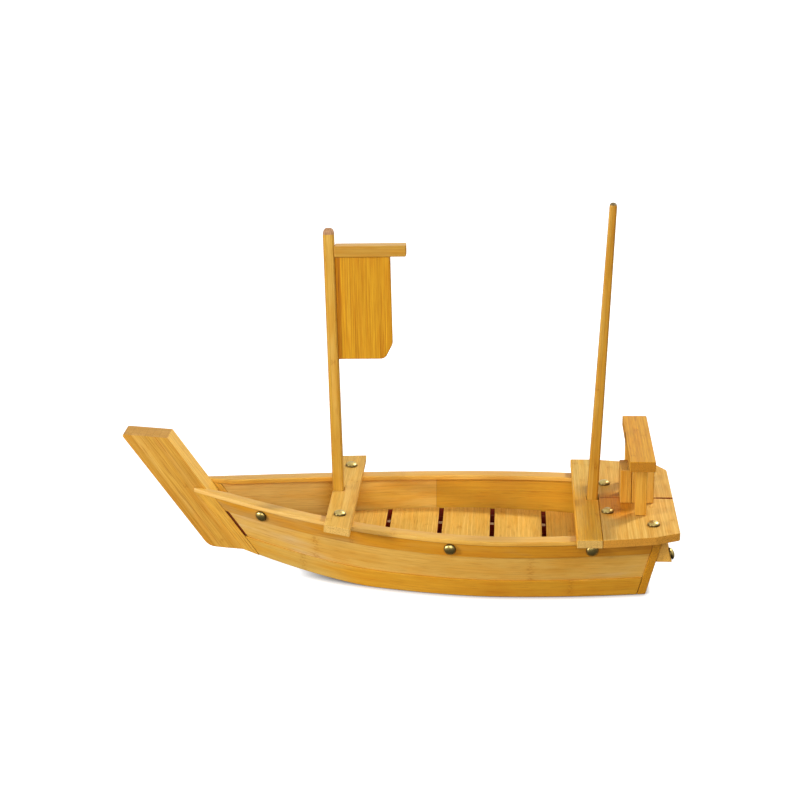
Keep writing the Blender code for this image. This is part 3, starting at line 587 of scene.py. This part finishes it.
# planes that part a board's tones, each as a point and a normal: the floor's level, below which the strakes
# take painted shade, the edge of the painted mast shadow on the sail, and the masts' browner heads
floorLevel = {"top": 0.0280, "tilt": 0.041}       # just under the top of the slats, lower toward the stern
mastHeads = {"front_mast": 0.0050, "rear_mast": 0.0019}     # height of the browner head
boardCuts = {
    "middle_strake_port": ((0, 0, floorLevel["top"]), (floorLevel["tilt"], 0, 1)),
    "middle_strake_starboard": ((0, 0, floorLevel["top"]), (floorLevel["tilt"], 0, 1)),
    "sail_board": ((-0.0498, 0, 0.254), (1, 0, -0.0063)),
}
for mastName, tall in mastHeads.items():
    boardCuts[mastName] = ((0, 0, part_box(mastName)[1][2] - tall), (0, 0, 1))


# faces with painted shade, in the gaps of the floor, the seams and other recesses, and faces with painted
# light and shade that makes some paler and others deeper
faceMarks = {
    "wellFore": -0.072,                 # the floor starts here
    "stemAft": (0.83, 0, 0.558),        # the way the stem's aft face looks
    "cheekSlot": 0.93,
    "mastSlot": 0.25,
    "seamBand": 0.002,
    # painted light and shade: the lit aft faces of the stem, the shaded top edge of the middle strake, the
    # lit tops of the yard, bearers and aft slats, the mast's shadow on the sail and the lit cap sides
    "stemBleach": 0.9,
    "middleEdgeBleach": 0.9,
    "yardBleach": 0.4,
    "bearerBleach": 0.8,
    "slatBleach": 0.6,
    "slatBleachFrom": 0.145,
    "sailBleach": 0.85,
    "capBleach": 0.85,
    "capBleachEnds": (0.06, 0.12),      # where it starts, and over what length it grows toward the bow
    "capBleachLeast": {"rail_cap_port": 0.0, "rail_cap_starboard": 0.5},
}


def wellFaces(normals, centres):
    inward = normals[:, 1] * np.sign(centres[:, 1]) < -0.5
    return inward & (centres[:, 0] > faceMarks["wellFore"])


def stemAftFaces(normals):
    return normals @ np.array(faceMarks["stemAft"]) > 0.8


# painted shade: faces seen through the floor's gaps and below the floor, the sides of the gaps and of the
# deck's seam, and the slot at the bow, darkened
def slotShadeFaces(nodeName, normals, centres):
    s = faceMarks
    if nodeName == "bottom_board":
        return (normals[:, 2] > 0.5) & (centres[:, 0] > s["wellFore"])
    if nodeName.startswith("lower_strake"):
        return wellFaces(normals, centres)
    if nodeName.startswith("middle_strake"):
        foreGap = (normals[:, 0] < -0.7) & (nodeName == "middle_strake_port")
        floorTop = floorLevel["top"] - floorLevel["tilt"] * centres[:, 0]
        return foreGap | (wellFaces(normals, centres) & (centres[:, 2] < floorTop))
    # painted shade in the slot between the port cheek and the middle strake
    if nodeName == "stem_cheek_port":
        return s["cheekSlot"] * stemAftFaces(normals)
    if nodeName.startswith("floor_bearer"):
        return np.abs(normals[:, 1]) > 0.5
    if nodeName.startswith("floor_slat"):
        return np.abs(normals[:, 0]) > 0.8
    if nodeName.startswith("deck_plank"):
        return np.abs(centres[:, 1]) < s["seamBand"]
    # painted shade: the front mast's fore faces, turned from the lamp behind, are darker
    if nodeName == "front_mast":
        return s["mastSlot"] * (normals[:, 0] < -0.5)
    return np.zeros(len(normals))


# painted light and shade: how much of the painted tone each face takes, picked by the way it looks toward the
# lamps
def paintedLightShadeFaces(nodeName, normals, centres):
    s = faceMarks
    upward = normals[:, 2] > 0.8
    # painted light: the stem's aft faces, and the starboard cheek's aft and inner faces, take a paler tone
    if nodeName == "stem_post":
        return s["stemBleach"] * stemAftFaces(normals)
    if nodeName == "stem_cheek_starboard":
        return s["stemBleach"] * (stemAftFaces(normals) | (normals[:, 1] < -0.9))
    # painted shade: the port middle strake's upward faces, which the sheer strake shades, take a deeper tone
    if nodeName == "middle_strake_port":
        return s["middleEdgeBleach"] * (normals[:, 2] > 0.7)
    # painted highlight: the yard's top face takes a paler tone
    if nodeName == "yard":
        return s["yardBleach"] * upward
    # painted light: the bearers' tops take a pale tone
    if nodeName.startswith("floor_bearer"):
        return s["bearerBleach"] * upward
    # painted light: the tops of the slats aft of this point take a paler tone
    if nodeName.startswith("floor_slat"):
        return s["slatBleach"] * upward * (centres[:, 0] > s["slatBleachFrom"])
    # painted shadow: the sail's strip beside the front mast takes a deeper orange tone
    if nodeName == "sail_board":
        point, normal = boardCuts[nodeName]
        return s["sailBleach"] * ((centres - point) @ np.array(normal) < 0)
    # painted light: the caps' faces that look to port take a paler tone, growing toward the bow
    if nodeName.startswith("rail_cap"):
        start, over = s["capBleachEnds"]
        growth = np.clip((start - centres[:, 0]) / over, s["capBleachLeast"][nodeName], 1)
        return s["capBleach"] * (normals[:, 1] < -0.6) * growth
    return np.zeros(len(normals))


# small shifts that close a clearance, or open the deck's seam toward the stern
seamClosing = 0.00026
seamOpening = {"band": 0.002, "from": 0.205, "over": 0.030, "least": 0.1}
mastGap = {"band": 0.002, "closing": 0.0005}
bottomSpread = {"closing": 0.0002, "foreEnd": -0.136, "foreHalf": 0.0130}


def fitBoard(nodeName, vertices):
    if nodeName.startswith("middle_strake"):      # drawn nearer to the strakes above and below it
        for vertex in vertices:
            upper = hullShare(vertex.co.x, vertex.co.z) > 0.5
            vertex.co.z += seamClosing if upper else -seamClosing
    if nodeName.startswith("deck_plank"):
        s = seamOpening
        for vertex in vertices:
            if abs(vertex.co.y) < s["band"]:
                vertex.co.y *= min(max((vertex.co.x - s["from"]) / s["over"], s["least"]), 1)
    if nodeName in ("sail_board", "yard"):        # drawn up against the tapered mast
        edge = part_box(nodeName)[0][0] + mastGap["band"]
        for vertex in vertices:
            if vertex.co.x < edge:
                vertex.co.x -= mastGap["closing"]
    if nodeName == "bottom_board":                # its sides lean with the planks, its fore end fills the bow
        for vertex in vertices:
            x, y, z = vertex.co
            lean = (hullHalf(x, "sheer") - hullHalf(x, "chine")) * max(hullShare(x, z), 0)
            half = abs(y) + lean + bottomSpread["closing"]
            if x < bottomSpread["foreEnd"]:
                half = bottomSpread["foreHalf"]
            vertex.co.y = math.copysign(half, y)


def markBoard(nodeName, mesh, order, finish, along):
    stripWide = {**woodBase, **finishes[finish]}["Strip"]
    places = grainPlaces(readVectors(mesh.vertices, "co"), along)
    places = places + np.array([0.0, stripsApart * order * stripWide, 0.0])
    mesh.attributes.new("grain", "FLOAT_VECTOR", "POINT").data.foreach_set("vector", places.ravel())
    normals, centres = readVectors(mesh.polygons, "normal"), readVectors(mesh.polygons, "center")
    for title, rule in (("inSlot", slotShadeFaces), ("bleach", paintedLightShadeFaces)):
        share = np.asarray(rule(nodeName, normals, centres), float)
        mesh.attributes.new(title, "FLOAT", "FACE").data.foreach_set("value", share)
    lengthwise = np.array((1, 0, 0) if type(along) == str else along[0], float)
    facing = np.abs(normals @ (lengthwise / np.linalg.norm(lengthwise)))
    ends = np.clip((facing - endFacing[0]) / (endFacing[1] - endFacing[0]), 0, 1)
    if nodeName in mastHeads:
        ends[centres[:, 2] > boardCuts[nodeName][0][2]] = 1
    share = ends * ends * (3 - 2 * ends)
    mesh.attributes.new("endGrain", "FLOAT", "FACE").data.foreach_set("value", share)


def makeBoard(nodeName, order, finish, slotName, along, ease):
    piece = bpy.data.objects.new(pieceName(nodeName), nodes[nodeName].data.copy())
    bpy.context.scene.collection.objects.link(piece)
    piece.data.materials.clear()
    piece.data.materials.append(bamboo[finish])
    takeUp(piece)
    bpy.ops.mesh.customdata_custom_splitnormals_clear()
    bpy.ops.object.mode_set(mode="EDIT")
    bpy.ops.mesh.select_all(action="SELECT")
    bpy.ops.mesh.remove_doubles(threshold=easing["merge"])
    bpy.ops.mesh.dissolve_limited(angle_limit=math.radians(easing["flat"]))
    if nodeName in boardCuts:
        bpy.ops.mesh.select_all(action="SELECT")
        bpy.ops.mesh.bisect(plane_co=boardCuts[nodeName][0], plane_no=boardCuts[nodeName][1])
    bpy.ops.object.mode_set(mode="OBJECT")
    fitBoard(nodeName, piece.data.vertices)
    if ease:
        applyModifier(piece, "BEVEL", width=ease, segments=easing["segments"], limit_method="ANGLE",
                      angle_limit=math.radians(easing["fromAngle"]))
    takeUp(piece)
    bpy.ops.object.shade_smooth_by_angle(angle=math.radians(easing["smoothUnder"]))
    applyModifier(piece, "WEIGHTED_NORMAL", keep_sharp=True)
    markBoard(nodeName, piece.data, order, finish, along)
    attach(piece, bodyOfNode[nodeName])
    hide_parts(nodeName)


boardCount = 0
for pattern, settings in boardSettings.items():
    for nodeName in sorted(nodes):
        if nodeName == pattern or (pattern.endswith("*") and nodeName.startswith(pattern.rstrip("*"))):
            runsOn = settings[0] == "stemBamboo" or type(settings[2]) == str     # grain runs on across pieces
            makeBoard(nodeName, 0 if runsOn else boardCount, *settings)
            boardCount += 1
print("boards made,", boardCount)


# tacks: a domed brass head with a turned rim, modelled once for each length of shank
tackSettings = {
    "segments": 40,
    "rings": 20,
    "rim": 0.0004,               # height of the upright rim
    "shank": 0.0010,             # radius
    "ease": 0.0002,
    "sharpAngle": 50.0,
}
brassSettings = {
    "deep": (0.50, 0.37, 0.115, 1),
    "rubbed": (0.60, 0.46, 0.165, 1),
    "rimTone": (0.13, 0.09, 0.030, 1),
    "rimFrom": (0.80, 1.0),      # share of the radius
    "rubbedBand": (0.35, 0.65),
    "roughBand": (0.3, 0.7),
    "roughness": (0.42, 0.36),
    "spotCells": 420.0,          # to the metre
    "rubCells": 1400.0,
    "relief": {"Strength": 0.06, "Distance": 0.0001},
}


def brassMaterial(s):
    material = bpy.data.materials.new("agedBrass")
    material.use_nodes = True
    tree = material.node_tree
    shader = tree.nodes["Principled BSDF"]
    shader.inputs["Metallic"].default_value = 1.0
    place = put(tree, "ShaderNodeTexCoord").outputs["Object"]
    spots = noise(tree, vectorCalc(tree, "SCALE", {0: place, "Scale": s["spotCells"]}), 3.0)
    rub = noise(tree, vectorCalc(tree, "SCALE", {0: place, "Scale": s["rubCells"]}), 2.0)
    colour = blendColour(tree, soft(tree, spots, *s["rubbedBand"]), s["deep"], s["rubbed"])
    rim = put(tree, "ShaderNodeAttribute", attribute_name="rim").outputs["Fac"]
    colour = blendColour(tree, soft(tree, rim, *s["rimFrom"]), colour, s["rimTone"])
    rough = soft(tree, spots, *s["roughBand"], *s["roughness"])
    bump = put(tree, "ShaderNodeBump", {**s["relief"], "Height": rub})
    tree.links.new(colour, shader.inputs["Base Color"])
    tree.links.new(rough, shader.inputs["Roughness"])
    tree.links.new(bump.outputs["Normal"], shader.inputs["Normal"])
    return material


agedBrass = brassMaterial(brassSettings)


# seat, axis, head radius, head height and shank length of a tack, read from its solid
def tackPlace(nodeName):
    points = np.unique(np.round(readVectors(nodes[nodeName].data.vertices, "co"), 6), axis=0)
    centre = points.mean(0)
    sizes, axes = np.linalg.eigh(np.cov((points - centre).T))
    odd = 0 if sizes[1] - sizes[0] > sizes[2] - sizes[1] else 2
    axis = axes[:, odd]
    t = (points - centre) @ axis
    r = np.linalg.norm(points - centre - np.outer(t, axis), axis=1)
    rim = t[r > 0.95 * r.max()]              # the widest ring
    narrow = t[r < 0.3 * r.max()]            # the crown and the end of the shank
    tip = narrow[np.argmax(np.abs(narrow - rim.mean()))]
    if tip > rim.mean():
        axis, t, rim, tip = -axis, -t, -rim, -tip
    seat = Vector(centre + axis * rim.min())
    return seat, Vector(axis), r.max(), t.max() - rim.min(), rim.min() - tip


def makeTack(s, radius, dome, shank):
    bpy.ops.object.select_all(action="DESELECT")
    bpy.ops.mesh.primitive_uv_sphere_add(segments=s["segments"], ring_count=s["rings"], radius=radius)
    piece = bpy.context.object
    piece.name = "tackMaster"
    bpy.ops.object.mode_set(mode="EDIT")
    bpy.ops.mesh.select_all(action="SELECT")
    bpy.ops.mesh.bisect(plane_co=(0, 0, 0), plane_no=(0, 0, 1), clear_inner=True)
    bpy.ops.mesh.select_all(action="SELECT")
    bpy.ops.transform.resize(value=(1, 1, (dome - s["rim"]) / radius), center_override=(0, 0, 0))
    bpy.ops.transform.translate(value=(0, 0, s["rim"]))
    bpy.ops.mesh.select_all(action="DESELECT")
    bpy.ops.mesh.select_mode(type="EDGE")
    bpy.ops.mesh.select_non_manifold()
    bpy.ops.mesh.extrude_region_move(TRANSFORM_OT_translate={"value": (0, 0, -s["rim"])})
    bpy.ops.mesh.edge_face_add()
    bpy.ops.mesh.select_mode(type="FACE")
    bpy.ops.mesh.inset(thickness=radius - s["shank"])
    bpy.ops.mesh.extrude_region_move(TRANSFORM_OT_translate={"value": (0, 0, -shank)})
    bpy.ops.mesh.select_all(action="SELECT")
    bpy.ops.mesh.normals_make_consistent(inside=False)
    bpy.ops.object.mode_set(mode="OBJECT")
    sharp = math.radians(s["sharpAngle"])
    applyModifier(piece, "BEVEL", width=s["ease"], segments=2, limit_method="ANGLE", angle_limit=sharp)
    takeUp(piece)
    bpy.ops.object.shade_smooth_by_angle(angle=sharp)
    piece.data.materials.append(agedBrass)
    fromAxis = [math.hypot(vertex.co.x, vertex.co.y) / radius for vertex in piece.data.vertices]
    piece.data.attributes.new("rim", "FLOAT", "POINT").data.foreach_set("value", fromAxis)
    return piece


masters = {}
tackCount = 0
for nodeName in sorted(nodes):
    if "_tack_" not in nodeName:
        continue
    seat, axis, radius, dome, shank = tackPlace(nodeName)
    length = round(shank, 4)
    if length not in masters:
        masters[length] = makeTack(tackSettings, radius, dome, shank)
    piece = masters[length].copy()
    piece.name = pieceName(nodeName)
    piece.data = masters[length].data.copy()
    bpy.context.scene.collection.objects.link(piece)
    turned = Vector((0, 0, 1)).rotation_difference(axis).to_matrix().to_4x4()
    piece.data.transform(Matrix.Translation(seat) @ turned)
    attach(piece, bodyOfNode[nodeName])
    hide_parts(nodeName)
    tackCount += 1
for master in masters.values():
    bpy.data.objects.remove(master)
print("tacks made,", tackCount)


# stage: a pale floor, a white surround and three soft lights
stageSettings = {
    "floorSize": 14.0,
    "floorHeight": -0.0002,
    "floorRoughness": 0.9,
    "floorGlow": (0.90, 1.0),    # close to the boat and far from it
    "glowReach": (0.45, 1.1),
    "contactReach": 0.008,       # painted contact shadow, a dark line where the boat stands
    "contactDepth": 1.6,
    "contactSamples": 12,
    "mirrored": 0.04,            # how bright the floor is in metal
    "floorColour": (0.45, 0.45, 0.45, 1),
    "floorMirrored": (0.05, 0.05, 0.05, 1),
    "surround": 0.26,            # light from all round
    "backRoom": (-0.55, 0.1),    # directions over which metal comes to show the white behind the boat
    "frontRise": (0.0, 0.55),    # low and high directions of the room behind the camera
    "frontRoom": (0.08, 0.90),   # what metal shows of it there
    "aim": (0, 0, 0.08),         # of the lights
    "lights": {
        "sternLight": {"place": (1.22, 0.88, 1.47), "size": 0.35, "power": 29.0},
        "bowLight": {"place": (-1.92, -0.90, 0.62), "size": 0.30, "power": 36.0},
        "frontLight": {"place": (0.10, -1.70, 1.05), "size": 1.2, "power": 19.5},
    },
}


def seenRays(tree):
    path = put(tree, "ShaderNodeLightPath").outputs
    bounced = calc(tree, "MAXIMUM", path["Is Glossy Ray"], path["Is Transmission Ray"])
    return path["Is Camera Ray"], bounced


def makeFloor(s):
    bpy.ops.object.select_all(action="DESELECT")
    bpy.ops.mesh.primitive_plane_add(size=s["floorSize"], location=(0, 0, s["floorHeight"]))
    floor = bpy.context.object
    floor.name = "floor"
    material = bpy.data.materials.new("paleFloor")
    material.use_nodes = True
    tree = material.node_tree
    shader = tree.nodes["Principled BSDF"]
    shader.inputs["Roughness"].default_value = s["floorRoughness"]
    shader.inputs["Specular IOR Level"].default_value = 0.0
    shader.inputs["Emission Color"].default_value = (1, 1, 1, 1)
    camera, bounced = seenRays(tree)
    colour = blendColour(tree, bounced, s["floorColour"], s["floorMirrored"])
    tree.links.new(colour, shader.inputs["Base Color"])
    place = put(tree, "ShaderNodeTexCoord").outputs["Object"]
    away = vectorCalc(tree, "LENGTH", {0: place}, "Value")
    glow = soft(tree, away, *s["glowReach"], *s["floorGlow"])
    # painted contact shadow: ambient occlusion dims the floor's glow close under the boat
    near = {"Distance": s["contactReach"]}
    contact = put(tree, "ShaderNodeAmbientOcclusion", near, samples=s["contactSamples"]).outputs["AO"]
    contact = calc(tree, "POWER", contact, s["contactDepth"])
    seen = calc(tree, "MAXIMUM", camera, calc(tree, "MULTIPLY", bounced, s["mirrored"]))
    glow = calc(tree, "MULTIPLY", calc(tree, "MULTIPLY", glow, contact), seen)
    tree.links.new(glow, shader.inputs["Emission Strength"])
    floor.data.materials.append(material)


def makeSurround(s):
    world = bpy.data.worlds.new("surround")
    bpy.context.scene.world = world
    world.use_nodes = True
    tree = world.node_tree
    background = tree.nodes["Background"]
    camera, bounced = seenRays(tree)
    direction = put(tree, "ShaderNodeTexCoord").outputs["Generated"]
    toward = put(tree, "ShaderNodeSeparateXYZ", {0: direction}).outputs
    behind = soft(tree, toward[1], *s["backRoom"])
    front = soft(tree, toward[2], *s["frontRise"], *s["frontRoom"])
    change = calc(tree, "SUBTRACT", calc(tree, "MAXIMUM", behind, front), s["surround"])
    strength = calc(tree, "MULTIPLY_ADD", bounced, change, s["surround"])
    strength = calc(tree, "MAXIMUM", strength, camera)
    background.inputs["Color"].default_value = (1, 1, 1, 1)
    tree.links.new(strength, background.inputs["Strength"])


def makeLight(name, s, aim):
    data = bpy.data.lights.new(name, "AREA")
    data.shape = "DISK"
    data.size = s["size"]
    data.energy = s["power"]
    light = bpy.data.objects.new(name, data)
    bpy.context.scene.collection.objects.link(light)
    light.location = s["place"]
    light.rotation_euler = (Vector(aim) - Vector(s["place"])).to_track_quat("-Z", "Y").to_euler()


makeFloor(stageSettings)
makeSurround(stageSettings)
for lightName, lightSettings in stageSettings["lights"].items():
    makeLight(lightName, lightSettings, stageSettings["aim"])
print("stage set")
